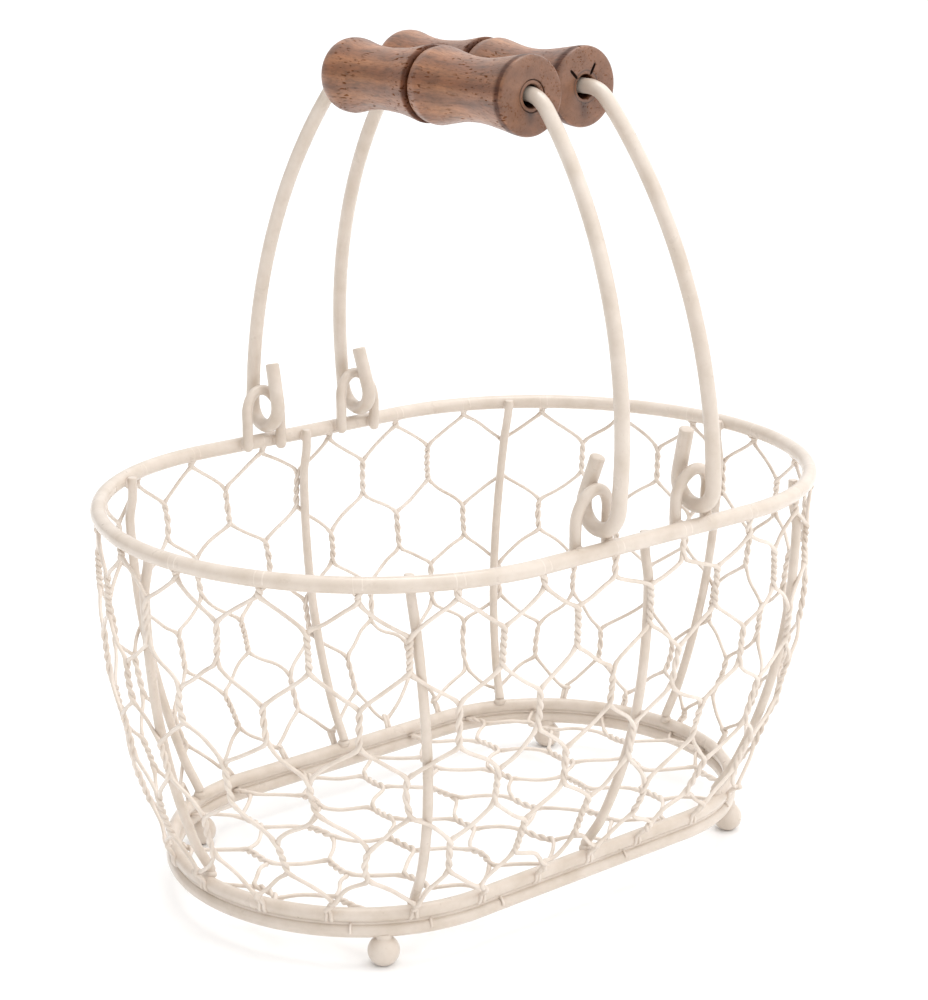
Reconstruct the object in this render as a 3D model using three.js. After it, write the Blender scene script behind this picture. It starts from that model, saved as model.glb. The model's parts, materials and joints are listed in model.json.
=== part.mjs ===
// A small oval wire basket: coated steel wire frame, hexagonal wire netting on the wall and the floor,
// four ball feet, and two swinging wire bails that meet over the middle with a turned wooden grip on each.
// Millimetres, +Z up. The origin is on the surface that the feet stand on, at the middle of the oval.
// +X runs along the oval's length and +Y along its width.
import * as THREE from "three";

// Oval rings: straight sides joined by half-ellipse ends. The base sits a little to the left of the rim.
const RIM = { halfLength: 135, halfWidth: 94.3, endLength: 88.3, middleX: 0, height: 140, wire: 2.75 };
const BASE = { halfLength: 112.9, halfWidth: 67.7, endLength: 62.85, middleX: -2, wire: 2.45 };
const LOWER_RING_HEIGHT = 12.4;
const UPPER_RING_HEIGHT = 18.0;

// Space left between pieces that are welded together.
const GAP = 0.35;

// How finely round wires and turned pieces are divided: sides round a section, steps along a length.
const DETAIL = {
  rim: { sides: 10, steps: 64 },
  base: { sides: 8, steps: 52 },
  rib: { sides: 6, steps: 12 },
  foot: { sides: 14, arcs: 8 },
  lug: { sides: 8, steps: 20, arcs: 10 },
  bail: { sides: 8, steps: 104, bendArcs: 4, sideArcs: 10, hookArcs: 8 },
  grip: { sides: 22 },
  // Points along a bail's curve used to space its steps evenly.
  bailLengths: 1200,
};

// Wall profile between the rim and the base: nearly upright at the top, curving in towards the base.
const WALL_POWER = 2.6;
const WALL_BULGE = 0.045;

// Upright ribs, by their station round the oval at the rim and at the base (see ovalPoint).
const RIB_WIRE = 1.7;
const RIB_INSET = 2.4;
const RIB_TOP_HEIGHT = 142.0;
const RIB_BOTTOM_HEIGHT = 21.9;
// A rib steps inwards between these distances under the rim, and again from this height to the base.
const RIB_TOP_STEP = { from: 4, to: 16 };
const RIB_BASE_STEP = { height: 34, inset: 1.2 };
const RIBS = [
  { name: "rib_front_right", top: 0.158, base: 0.113 },
  { name: "rib_right_tip", top: 0.498, base: 0.515 },
  { name: "rib_rear_right", top: 0.827, base: 0.874 },
  { name: "rib_rear_middle", top: 1.53, base: 1.531 },
  { name: "rib_rear_left", top: 2.176, base: 2.134 },
  { name: "rib_left_tip", top: 2.48, base: 2.495 },
  { name: "rib_front_left", top: 2.832, base: 2.88 },
  { name: "rib_front_middle", top: 3.518, base: 3.51 },
];

// Ball feet, by station round the lower ring. Each ball has a small worn flat under it.
const FOOT_RADIUS = 5.4;
const FOOT_CENTRE_HEIGHT = 5.0;
const FEET = [
  { name: "foot_front_right", station: 0.19 },
  { name: "foot_rear_right", station: 0.774 },
  { name: "foot_rear_left", station: 2.12 },
  { name: "foot_front_left", station: 2.826 },
];

// Handle lugs: bent wire arches standing on the inner side of the rim's straight sides, with their tops
// leaning out a little. Hand-bent, so each has its own place, width and height.
const LUG = { wire: 2.0, footHeight: 136.4, springHeight: 150, topLean: 2 };
const LUGS = [
  { name: "lug_a_front", side: -1, x: -22.6, halfSpan: 7.2, topHeight: 160.4 },
  { name: "lug_a_rear", side: 1, x: -23.0, halfSpan: 7.8, topHeight: 160.7 },
  { name: "lug_b_front", side: -1, x: 23.4, halfSpan: 7.4, topHeight: 159.2 },
  { name: "lug_b_rear", side: 1, x: 22.0, halfSpan: 8.2, topHeight: 160.8 },
];

// Bails: each hooks through two lugs and turns on its hooks, over the rim.
const BAIL = {
  wire: 2.6,
  pivotHeight: 146.3,
  outerY: 100.2,
  innerY: 83.7,
  sideAngle: 42.3,
  sideRadius: 171,
  stubTop: 25.4,
  stubLean: 4.8,
};
// The hand-bent bails differ a little: where the hooks pivot, how tall the straight legs over the hooks
// are, and where the wire runs through the grip.
const BAILS = [
  { letter: "a", pivotX: -21, straightLeg: 16.5, topX: -12.5, topHeight: 282.0 },
  { letter: "b", pivotX: 23.7, straightLeg: 18, topX: 13.9, topHeight: 282.6 },
];

// Turned wooden grips. Each hangs loose on its wire, so its axis is beside and below the wire's.
const GRIP_LENGTH = 99.2;
const GRIP_BORE = 4.7;
const GRIP_FLARE = 13.45;
const GRIPS = [
  { name: "grip_a", x: -13.3, z: 281.3, shift: 0.1 },
  { name: "grip_b", x: 13.8, z: 282.3, shift: 3.5 },
];

// Hexagonal netting of twisted wire. Columns are counted from the middle of the right end. The netting is
// stretched a little along the rear, which moves its columns on by a fraction of a column there.
const NET_COLUMNS = 24;
const NET_PHASE = 0.49;
const NET_DRIFT = { amount: 0.167, start: 2.5, length: 10 };
const NET_HALF_WIDTH = 0.75;
const NET_HALF_DEPTH = 0.6;
const NET_OUTSET = 0.5;
const NET_TOP_HEIGHT = 136.6;
const NET_FIRST_JOIN = 134.7;
// Along the front side the first twists are longer, so the joins under them are lower.
const NET_FRONT_SAG = { depth: 5.6, station: 3.55, reach: 0.55 };
const NET_ROW = 25.2;
const NET_TWIST = 15.0;
const NET_ROWS = 5;
const NET_BOTTOM_HEIGHT = 17.0;
// The netting comes out over the base rings from this height down to just under the upper ring.
const NET_BASE_STEP = { from: 30, below: 1 };
const FLOOR_HEIGHT = 15.2;
const FLOOR_PITCH = 29;
const FLOOR_ROW = 26;
const FLOOR_TWIST = 15;
const FLOOR_SHIFT = [1.5, 12.5];
const FLOOR_EDGE_GAP = 3.4;
const FLOOR_ROWS = 4;
const FLOOR_COLUMNS = 6;
// The shortest part of a trimmed strut that is kept, and how many times its length is halved to find it.
const FLOOR_TRIM = { least: 0.25, halvings: 20 };

const CREAM = { color: 0xeedccb, roughness: 0.42, metalness: 0.0 };
const WOOD = { color: 0x8a5f45, roughness: 0.55, metalness: 0.0 };

const basket = new THREE.Group();

function addMesh(name, geometry, finish) {
  const mesh = new THREE.Mesh(geometry, new THREE.MeshStandardMaterial(finish));
  mesh.name = name;
  basket.add(mesh);
  return mesh;
}

// A point on an oval. Stations run 0 to 4: 0-1 is the right end from front to rear, 1-2 the rear side,
// 2-3 the left end from rear to front and 3-4 the front side. outset moves the point outwards.
function ovalPoint(oval, station, height, outset = 0) {
  const w = ((station % 4) + 4) % 4;
  const centre = oval.halfLength - oval.endLength;
  const rx = oval.endLength + outset;
  const ry = oval.halfWidth + outset;
  const at = (x, y) => new THREE.Vector3(oval.middleX + x, y, height);
  if (w < 1) {
    const angle = Math.PI * (w - 0.5);
    return at(centre + rx * Math.cos(angle), ry * Math.sin(angle));
  }
  if (w < 2) return at(centre * (3 - 2 * w), ry);
  if (w < 3) {
    const angle = Math.PI * (w - 1.5);
    return at(-centre + rx * Math.cos(angle), ry * Math.sin(angle));
  }
  return at(centre * (2 * w - 7), -ry);
}

// How far in the wall has come at a height: 0 at the rim and 1 at the upper base ring.
function wallInward(height) {
  const t = (RIM.height - height) / (RIM.height - UPPER_RING_HEIGHT);
  const power = Math.sign(t) * Math.abs(t) ** WALL_POWER;
  return power - WALL_BULGE * Math.sin(Math.PI * t);
}

function ovalAt(height) {
  const inward = wallInward(height);
  return {
    halfLength: THREE.MathUtils.lerp(RIM.halfLength, BASE.halfLength, inward),
    halfWidth: THREE.MathUtils.lerp(RIM.halfWidth, BASE.halfWidth, inward),
    endLength: THREE.MathUtils.lerp(RIM.endLength, BASE.endLength, inward),
    middleX: THREE.MathUtils.lerp(RIM.middleX, BASE.middleX, inward),
  };
}

function wallPoint(station, height, outset = 0) {
  return ovalPoint(ovalAt(height), station, height, outset);
}

function ovalLengths(oval) {
  const endArc = Math.PI * Math.sqrt((oval.endLength ** 2 + oval.halfWidth ** 2) / 2);
  const side = 2 * (oval.halfLength - oval.endLength);
  return { endArc, side, perimeter: 2 * (endArc + side) };
}

// Station for a fraction 0 to 1 of the way round an oval from the middle of its right end, measured along
// the wire.
function stationAt(fraction, oval) {
  const { endArc, side, perimeter } = ovalLengths(oval);
  let along = fraction * perimeter + endArc / 2;
  along -= Math.floor(along / perimeter) * perimeter;
  let station = 0;
  for (const length of [endArc, side, endArc, side]) {
    if (along < length) return station + along / length;
    along -= length;
    station += 1;
  }
  return 0;
}

class OvalCurve extends THREE.Curve {
  constructor(oval, height) {
    super();
    this.oval = oval;
    this.height = height;
  }
  getPoint(t, target = new THREE.Vector3()) {
    return target.copy(ovalPoint(this.oval, t * 4, this.height));
  }
}

function roundSection(radius, sides) {
  const points = [];
  for (let i = 0; i < sides; i += 1) {
    const angle = (2 * Math.PI * (i + 0.5)) / sides;
    points.push(new THREE.Vector2(radius * Math.cos(angle), radius * Math.sin(angle)));
  }
  return new THREE.Shape(points);
}

// A closed length of wire along a curve.
function wireAlong(curve, radius, sides, steps) {
  return new THREE.ExtrudeGeometry(roundSection(radius, sides), { steps, extrudePath: curve });
}

function addRing(name, oval, height, { sides, steps }) {
  addMesh(name, new THREE.TubeGeometry(new OvalCurve(oval, height), steps, oval.wire, sides, true), CREAM);
}

// A rib follows the wall's inner side, steps in round the rim's wire and ends on the upper base ring.
function addRib(rib) {
  const clearInset = RIM.wire + RIB_WIRE + GAP;
  const { sides, steps } = DETAIL.rib;
  const points = [];
  for (let i = 0; i <= steps; i += 1) {
    const height = THREE.MathUtils.lerp(RIB_TOP_HEIGHT, RIB_BOTTOM_HEIGHT, i / steps);
    const share = THREE.MathUtils.clamp((RIM.height - height) / (RIM.height - UPPER_RING_HEIGHT), 0, 1);
    const station = THREE.MathUtils.lerp(rib.top, rib.base, share);
    const nearRim = 1 - THREE.MathUtils.smoothstep(RIM.height - height, RIB_TOP_STEP.from, RIB_TOP_STEP.to);
    const nearBase = THREE.MathUtils.smoothstep(-height, -RIB_BASE_STEP.height, -RIB_BOTTOM_HEIGHT);
    const inset = RIB_INSET + (clearInset - RIB_INSET) * nearRim + RIB_BASE_STEP.inset * nearBase;
    points.push(wallPoint(station, height, -inset));
  }
  addMesh(rib.name, wireAlong(new THREE.CatmullRomCurve3(points), RIB_WIRE, sides, steps), CREAM);
}

function addFoot(foot) {
  const flatAngle = Math.acos(FOOT_CENTRE_HEIGHT / FOOT_RADIUS);
  const topHeight = LOWER_RING_HEIGHT - BASE.wire - GAP;
  const topAngle = Math.acos((topHeight - FOOT_CENTRE_HEIGHT) / FOOT_RADIUS);
  const profile = [new THREE.Vector2(0, 0)];
  const { sides, arcs } = DETAIL.foot;
  for (let i = 0; i <= arcs; i += 1) {
    const angle = THREE.MathUtils.lerp(Math.PI - flatAngle, topAngle, i / arcs);
    const radius = FOOT_RADIUS * Math.sin(angle);
    profile.push(new THREE.Vector2(radius, FOOT_CENTRE_HEIGHT + FOOT_RADIUS * Math.cos(angle)));
  }
  profile[1].y = 0;
  profile[arcs + 1].y = topHeight;
  profile.push(new THREE.Vector2(0, topHeight));
  const mesh = addMesh(foot.name, new THREE.LatheGeometry(profile, sides), CREAM);
  mesh.rotation.x = Math.PI / 2;
  mesh.position.copy(ovalPoint(BASE, foot.station, 0));
}

// An arch of wire: two upright legs and a half-ellipse over them.
function addLug(lug) {
  const y = lug.side * (RIM.halfWidth - RIM.wire - LUG.wire - GAP);
  const rise = lug.topHeight - LUG.springHeight;
  const arch = [];
  const { sides, steps, arcs } = DETAIL.lug;
  for (let i = 0; i <= arcs; i += 1) {
    const angle = Math.PI * (1 - i / arcs);
    const lean = lug.side * LUG.topLean * Math.sin(angle);
    const dx = lug.halfSpan * Math.cos(angle);
    arch.push(new THREE.Vector3(lug.x + dx, y + lean, LUG.springHeight + rise * Math.sin(angle)));
  }
  const leftFoot = new THREE.Vector3(lug.x - lug.halfSpan, y, LUG.footHeight);
  const rightFoot = new THREE.Vector3(lug.x + lug.halfSpan, y, LUG.footHeight);
  const path = new THREE.CurvePath();
  path.add(new THREE.LineCurve3(leftFoot, arch[0]));
  path.add(new THREE.CatmullRomCurve3(arch));
  path.add(new THREE.LineCurve3(arch[arcs], rightFoot));
  addMesh(lug.name, wireAlong(path, LUG.wire, sides, steps), CREAM);
}

// Half of a bail's centre line in its own plane: across is towards the lug, up is from the hooks' pivot.
// From the grip it bends down, follows a long arc to a straight leg, hooks under and ends in a stub.
function bailHalf(straightLeg, top) {
  const sideAngle = THREE.MathUtils.degToRad(BAIL.sideAngle);
  const turn = Math.PI / 2 - sideAngle;
  const sideCentre = BAIL.outerY - BAIL.sideRadius;
  const hookRadius = (BAIL.outerY - BAIL.innerY) / 2;
  const shoulderAcross = sideCentre + BAIL.sideRadius * Math.cos(sideAngle);
  const shoulderUp = straightLeg + BAIL.sideRadius * Math.sin(sideAngle);
  const bendRadius = (top - shoulderUp) / (1 - Math.cos(turn));
  const bendStart = shoulderAcross - bendRadius * Math.sin(turn);
  const { bendArcs, sideArcs, hookArcs } = DETAIL.bail;
  const points = [];
  const addArc = (centre, radius, from, to, steps) => {
    for (let i = 0; i <= steps; i += 1) {
      const angle = THREE.MathUtils.lerp(from, to, i / steps);
      points.push([centre[0] + radius * Math.cos(angle), centre[1] + radius * Math.sin(angle)]);
    }
  };
  addArc([bendStart, top - bendRadius], bendRadius, Math.PI / 2, sideAngle, bendArcs);
  points.pop();
  addArc([sideCentre, straightLeg], BAIL.sideRadius, sideAngle, 0, sideArcs);
  addArc([BAIL.innerY + hookRadius, hookRadius], hookRadius, 0, -Math.PI, hookArcs);
  points.push([BAIL.innerY + BAIL.stubLean, BAIL.stubTop]);
  return points;
}

function addBail(bail) {
  const pivot = new THREE.Vector3(bail.pivotX, 0, BAIL.pivotHeight);
  const up = new THREE.Vector3(bail.topX, 0, bail.topHeight).sub(pivot);
  const height = up.length();
  up.normalize();
  const half = bailHalf(bail.straightLeg, height);
  const place = ([across, along], side) => pivot.clone().addScaledVector(up, along).setY(side * across);
  const front = half.map((point) => place(point, -1)).reverse();
  const rear = half.map((point) => place(point, 1));
  const curve = new THREE.CatmullRomCurve3([...front, place([0, height], 1), ...rear], false, "centripetal");
  curve.arcLengthDivisions = DETAIL.bailLengths;
  const { sides, steps } = DETAIL.bail;
  addMesh("bail_wire_" + bail.letter, wireAlong(curve, BAIL.wire, sides, steps), CREAM);
}

// Grip radius along its length, as a share of the flare's radius, with 0 at the rounded end and 1 at the
// flared end: two alike parts, each with a bulge, a waist and a flare, and a V groove between them.
const GRIP_PROFILE = [
  [0.0, 0.66],
  [0.006, 0.75],
  [0.015, 0.835],
  [0.028, 0.908],
  [0.05, 0.963],
  [0.08, 0.97],
  [0.12, 0.908],
  [0.165, 0.846],
  [0.215, 0.807],
  [0.265, 0.8],
  [0.315, 0.816],
  [0.365, 0.842],
  [0.415, 0.897],
  [0.455, 0.95],
  [0.482, 0.981],
  [0.491, 0.965],
  [0.502, 0.8],
  [0.507, 0.91],
  [0.518, 0.95],
  [0.55, 0.988],
  [0.58, 0.955],
  [0.62, 0.897],
  [0.665, 0.838],
  [0.715, 0.805],
  [0.765, 0.8],
  [0.815, 0.827],
  [0.865, 0.876],
  [0.915, 0.933],
  [0.955, 0.981],
  [0.982, 1.0],
  [0.993, 0.99],
  [1.0, 0.935],
];

function addGrip(grip) {
  const half = GRIP_LENGTH / 2;
  const profile = GRIP_PROFILE.map(
    ([along, share]) => new THREE.Vector2(share * GRIP_FLARE, half - along * GRIP_LENGTH),
  );
  profile.push(new THREE.Vector2(GRIP_BORE, -half));
  profile.push(new THREE.Vector2(GRIP_BORE, half));
  profile.push(profile[0].clone());
  profile.reverse();
  const mesh = addMesh(grip.name, new THREE.LatheGeometry(profile, DETAIL.grip.sides), WOOD);
  mesh.position.set(grip.x, grip.shift, grip.z);
}

// A flat lattice of square-sectioned struts, laid on a surface. Points are 2D, links join them in pairs,
// and place(u, v, depth) puts a lattice point on the surface. span is the length round a closed lattice.
function latticeGeometry(points, links, place, span = Infinity) {
  const offset = (from, to) => {
    let du = points[to][0] - points[from][0];
    if (du > span / 2) du -= span;
    if (du < -span / 2) du += span;
    return [du, points[to][1] - points[from][1]];
  };
  const neighbours = points.map(() => []);
  for (const [a, b] of links) {
    neighbours[a].push(b);
    neighbours[b].push(a);
  }
  const positions = [];
  const index = [];
  const addCorner = (u, v) => {
    for (const depth of [NET_HALF_DEPTH, -NET_HALF_DEPTH]) positions.push(...place(u, v, depth).toArray());
    return positions.length / 3 - 2;
  };
  const quad = (a, b, c, d) => index.push(a, b, c, a, c, d);
  // leftOf[point][neighbour] and rightOf[...] are the corners beside each strut's end.
  const leftOf = points.map(() => new Map());
  const rightOf = points.map(() => new Map());
  points.forEach(([u, v], point) => {
    const around = neighbours[point]
      .map((other) => ({ other, angle: Math.atan2(offset(point, other)[1], offset(point, other)[0]) }))
      .sort((p, q) => p.angle - q.angle);
    if (around.length === 1) {
      const { other, angle } = around[0];
      const across = [-Math.sin(angle) * NET_HALF_WIDTH, Math.cos(angle) * NET_HALF_WIDTH];
      const left = addCorner(u + across[0], v + across[1]);
      const right = addCorner(u - across[0], v - across[1]);
      leftOf[point].set(other, left);
      rightOf[point].set(other, right);
      quad(left, left + 1, right + 1, right);
      return;
    }
    const corners = around.map(({ angle }, k) => {
      const next = around[(k + 1) % around.length].angle + (k + 1 === around.length ? 2 * Math.PI : 0);
      const reach = NET_HALF_WIDTH / Math.sin((next - angle) / 2);
      const middle = (angle + next) / 2;
      return addCorner(u + reach * Math.cos(middle), v + reach * Math.sin(middle));
    });
    around.forEach(({ other }, k) => {
      leftOf[point].set(other, corners[k]);
      rightOf[point].set(other, corners[(k + corners.length - 1) % corners.length]);
    });
    for (let k = 2; k < corners.length; k += 1) {
      index.push(corners[0], corners[k - 1], corners[k]);
      index.push(corners[0] + 1, corners[k] + 1, corners[k - 1] + 1);
    }
  });
  for (const [a, b] of links) {
    const aLeft = leftOf[a].get(b);
    const aRight = rightOf[a].get(b);
    const bLeft = leftOf[b].get(a);
    const bRight = rightOf[b].get(a);
    quad(aRight, bLeft, bRight, aLeft);
    quad(aLeft + 1, bRight + 1, bLeft + 1, aRight + 1);
    quad(aRight, aRight + 1, bLeft + 1, bLeft);
    quad(bRight, bRight + 1, aLeft + 1, aLeft);
  }
  const geometry = new THREE.BufferGeometry();
  geometry.setAttribute("position", new THREE.Float32BufferAttribute(positions, 3));
  geometry.setIndex(index);
  geometry.computeVertexNormals();
  return geometry;
}

// Station of a netting column at a height.
function netStation(column, height) {
  const place = column + NET_PHASE;
  const alongDrift = THREE.MathUtils.clamp((place - NET_DRIFT.start) / NET_DRIFT.length, 0, 1);
  const drift = NET_DRIFT.amount * Math.sin(Math.PI * alongDrift);
  return stationAt((place + drift) / NET_COLUMNS, ovalAt(height));
}

function firstJoinHeight(column) {
  let apart = Math.abs(netStation(column, RIM.height) - NET_FRONT_SAG.station);
  apart = Math.min(apart, 4 - apart);
  return NET_FIRST_JOIN - NET_FRONT_SAG.depth * Math.exp(-((apart / NET_FRONT_SAG.reach) ** 2));
}

function addWallNetting() {
  const points = [];
  const links = [];
  const { perimeter } = ovalLengths(RIM);
  const pitch = perimeter / NET_COLUMNS;
  const column = (c) => ((c % NET_COLUMNS) + NET_COLUMNS) % NET_COLUMNS;
  // Each row is a twisted length with a join at its top and its bottom; rows are half a pitch apart.
  const rowTop = (row) => NET_FIRST_JOIN - NET_ROW * row + NET_TWIST;
  for (let row = 0; row <= NET_ROWS; row += 1) {
    const shift = row % 2 ? 0.5 : 0;
    const top = row ? rowTop(row) : NET_TOP_HEIGHT;
    const rowBottom = row < NET_ROWS ? rowTop(row) - NET_TWIST : NET_BOTTOM_HEIGHT;
    for (let c = 0; c < NET_COLUMNS; c += 1) {
      const bottom = row ? rowBottom : firstJoinHeight(c);
      points.push([(c + shift) * pitch, top], [(c + shift) * pitch, bottom]);
      const here = 2 * (row * NET_COLUMNS + c);
      links.push([here, here + 1]);
      if (!row) continue;
      const leftAbove = row % 2 ? c : c - 1;
      const above = 2 * (row - 1) * NET_COLUMNS + 1;
      links.push([here, above + 2 * column(leftAbove)], [here, above + 2 * column(leftAbove + 1)]);
    }
  }
  const lastOutset = BASE.wire + NET_HALF_DEPTH + GAP;
  const place = (u, v, depth) => {
    const { from, below } = NET_BASE_STEP;
    const nearBase = THREE.MathUtils.smoothstep(-v, -from, -UPPER_RING_HEIGHT - below);
    const outset = NET_OUTSET + (lastOutset - NET_OUTSET) * nearBase;
    return wallPoint(netStation(u / pitch, v), v, outset + depth);
  };
  addMesh("wall_netting", latticeGeometry(points, links, place, perimeter), CREAM);
}

function insideFloor(x, y) {
  const centre = BASE.halfLength - BASE.endLength;
  const reachX = BASE.endLength - FLOOR_EDGE_GAP;
  const reachY = BASE.halfWidth - FLOOR_EDGE_GAP;
  const beyond = Math.max(Math.abs(x - BASE.middleX) - centre, 0) / reachX;
  return beyond ** 2 + (y / reachY) ** 2 < 1;
}

// The floor's netting is cut to the oval: a strut that crosses the edge is trimmed there.
function addFloorNetting() {
  const points = [];
  const links = [];
  const ids = new Map();
  const join = (i, j, end) => {
    const key = i + "," + j + "," + end;
    if (!ids.has(key)) {
      const x = (i + (j % 2 ? 0.5 : 0)) * FLOOR_PITCH + FLOOR_SHIFT[0];
      const y = j * FLOOR_ROW + FLOOR_SHIFT[1] + (end * FLOOR_TWIST) / 2;
      ids.set(key, points.length);
      points.push([x, y]);
    }
    return ids.get(key);
  };
  const link = (a, b) => {
    const [inA, inB] = [insideFloor(...points[a]), insideFloor(...points[b])];
    if (!inA && !inB) return;
    if (inA && inB) {
      links.push([a, b]);
      return;
    }
    const [from, to] = inA ? [points[a], points[b]] : [points[b], points[a]];
    let low = 0;
    let high = 1;
    for (let k = 0; k < FLOOR_TRIM.halvings; k += 1) {
      const mid = (low + high) / 2;
      const inside = insideFloor(from[0] + (to[0] - from[0]) * mid, from[1] + (to[1] - from[1]) * mid);
      if (inside) low = mid;
      else high = mid;
    }
    if (low < FLOOR_TRIM.least) return;
    points.push([from[0] + (to[0] - from[0]) * low, from[1] + (to[1] - from[1]) * low]);
    links.push([inA ? a : b, points.length - 1]);
  };
  for (let j = -FLOOR_ROWS; j <= FLOOR_ROWS; j += 1) {
    for (let i = -FLOOR_COLUMNS; i <= FLOOR_COLUMNS; i += 1) {
      link(join(i, j, -1), join(i, j, 1));
      const right = j % 2 ? i + 1 : i;
      link(join(i, j, 1), join(right, j + 1, -1));
      link(join(i, j, 1), join(right - 1, j + 1, -1));
    }
  }
  const place = (u, v, depth) => new THREE.Vector3(u, v, FLOOR_HEIGHT + depth);
  addMesh("floor_netting", latticeGeometry(points, links, place), CREAM);
}

addRing("rim_ring", RIM, RIM.height, DETAIL.rim);
addRing("base_ring_upper", BASE, UPPER_RING_HEIGHT, DETAIL.base);
addRing("base_ring_lower", BASE, LOWER_RING_HEIGHT, DETAIL.base);
RIBS.forEach(addRib);
FEET.forEach(addFoot);
LUGS.forEach(addLug);
BAILS.forEach(addBail);
GRIPS.forEach(addGrip);
addWallNetting();
addFloorNetting();

export default basket;
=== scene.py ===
"""Looks of a small oval wire basket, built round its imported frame.

Coated steel wire rings and ribs, twisted hexagonal netting on the wall and the floor, four ball feet,
four wire lugs, and two swinging wire bails with a turned walnut grip on each. Lengths are in millimetres
in the frame's own axes until a mesh is made.
"""

import json
import math
import random

import bpy
import numpy as np
from mathutils import Matrix, Vector


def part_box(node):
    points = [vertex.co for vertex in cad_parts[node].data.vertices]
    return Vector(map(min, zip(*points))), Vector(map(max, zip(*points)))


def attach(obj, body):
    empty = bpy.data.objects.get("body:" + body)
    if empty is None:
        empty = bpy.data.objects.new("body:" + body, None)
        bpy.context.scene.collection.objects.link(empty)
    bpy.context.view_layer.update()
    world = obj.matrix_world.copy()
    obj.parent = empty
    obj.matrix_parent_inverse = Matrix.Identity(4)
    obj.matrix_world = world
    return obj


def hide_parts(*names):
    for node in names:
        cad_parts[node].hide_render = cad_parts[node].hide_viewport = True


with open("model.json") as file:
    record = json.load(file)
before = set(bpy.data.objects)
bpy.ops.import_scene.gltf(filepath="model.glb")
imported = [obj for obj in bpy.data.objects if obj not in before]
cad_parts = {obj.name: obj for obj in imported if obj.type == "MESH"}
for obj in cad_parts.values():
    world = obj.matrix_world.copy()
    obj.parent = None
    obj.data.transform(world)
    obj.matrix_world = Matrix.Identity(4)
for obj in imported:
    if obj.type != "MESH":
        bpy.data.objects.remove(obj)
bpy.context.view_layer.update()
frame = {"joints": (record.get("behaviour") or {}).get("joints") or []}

MM = 0.001
RANDOM_SEED = 7

# ---- Camera ----
CAMERA_AZIMUTH = -40.57
CAMERA_ELEVATION = 15.81
CAMERA_DISTANCE = 840.6
CAMERA_TARGET = (0.0, 0.0, 132.75)
CAMERA_LENS = 84.27
SENSOR_SIZE = 36.0

# Light
ROOM_BRIGHT_SIDE = (0.42, -0.36, 0.83)
ROOM_DIM = (0.15, (0.09, 0.09, 0.091, 1))
ROOM_BRIGHT = (1.0, (1.0, 1.0, 1.0, 1))
ROOM_STRENGTH = 1.72
OVERHEAD_POWER = 6
KEY_POWER = 1.8

# Rings
RIM_END_LENGTH = 88.3
RIM_FACET = math.cos(math.radians(18))
BASE_END_LENGTH = 62.85
WALL_POWER = 2.6
WALL_BULGE = 0.045

# Ribs: stations at the rim and at the base, and the height of the top end
RIB_WIRE = 1.7
RIB_INSET = 2.4
# A rib steps in between these distances under the rim, and again between these heights above the base.
RIB_RIM_STEP = (4, 16)
RIB_BASE_STEP = (34, 21.9)
RIB_BASE_INSET = 1.2
RIB_FOOT_GAP = 0.4
# How far welded wires sink into each other's coating, and the welds' half sizes: along, out, up.
COAT_SINK = 0.15
RIB_TOP_WELD = (2.1, 1.3, 2.0)
RIB_FOOT_WELD = (2.4, 2.2, 1.7)
RIB_WELD_DROP = 0.8
RIBS = {
    "rib_front_right": (0.158, 0.113, 141.5),
    "rib_right_tip": (0.498, 0.515, 141.2),
    "rib_rear_right": (0.827, 0.874, 141.7),
    "rib_rear_middle": (1.53, 1.531, 142.2),
    "rib_rear_left": (2.176, 2.134, 141.5),
    "rib_left_tip": (2.48, 2.495, 139.9),
    "rib_front_left": (2.832, 2.88, 142.1),
    "rib_front_middle": (3.518, 3.51, 141.4),
}
FEET = ("foot_front_right", "foot_rear_right", "foot_rear_left", "foot_front_left")
FOOT_RADIUS = 5.4
FOOT_CENTRE = 5.0
# Where a foot's ball turns into its neck, then the neck's radii and heights.
FOOT_NECK_ANGLE = math.radians(31)
FOOT_NECK = ((2.75, 9.9), (2.85, 10.3), (2.6, 11.2), (1.2, 11.8))

# Lugs and bails
LUG_WIRE = 2.0
LUG_FEET = (137.9, 136.8)
LUG_SPRING = 150.0
LUG_LEAN = 2.0
LUG_WELD = (2.2, 1.5, 2.2)
LUG_WELD_RISE = 0.4
BAIL_WIRE = 2.6
BAIL_OUTER = 100.2
BAIL_INNER = 83.7
BAIL_SIDE_ANGLE = math.radians(42.3)
BAIL_SIDE_RADIUS = 171.0
STUBS = {
    ("a", -1): (23.9, 5.4),
    ("a", 1): (24.5, 4.8),
    ("b", -1): (26.3, 4.8),
    ("b", 1): (24.9, 4.8),
}
BAILS = {
    "a": {"straight": 16.5, "top": (-12.5, 282.0)},
    "b": {"straight": 18.0, "top": (13.9, 282.6)},
}

# Grips
GRIP_BORE = 4.7
GRIP_FLARE = 13.45
GRIP_RING = 5.35
BORE_MOUTH = {"a": 3.85, "b": 4.1}
BORE_EASE = 0.4
# Outlines at the flared end, as steps in radius and in distance from the end: the shallow dish inside
# its edge, the score round the bore, and the bore's mouth.
END_DISH = ((-0.5, -0.08), (-1.3, -0.12), (-4.5, -0.1))
END_SCORE = ((0.3, -0.02), (0.15, 0.1), (0.08, 0.8), (-0.1, 0.85), (-0.18, 0.3), (-0.32, 0.18))
END_MOUTH = ((0.35, 0.18), (0.08, 0.36), (0.0, 0.8), (0.0, 4.5))
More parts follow.
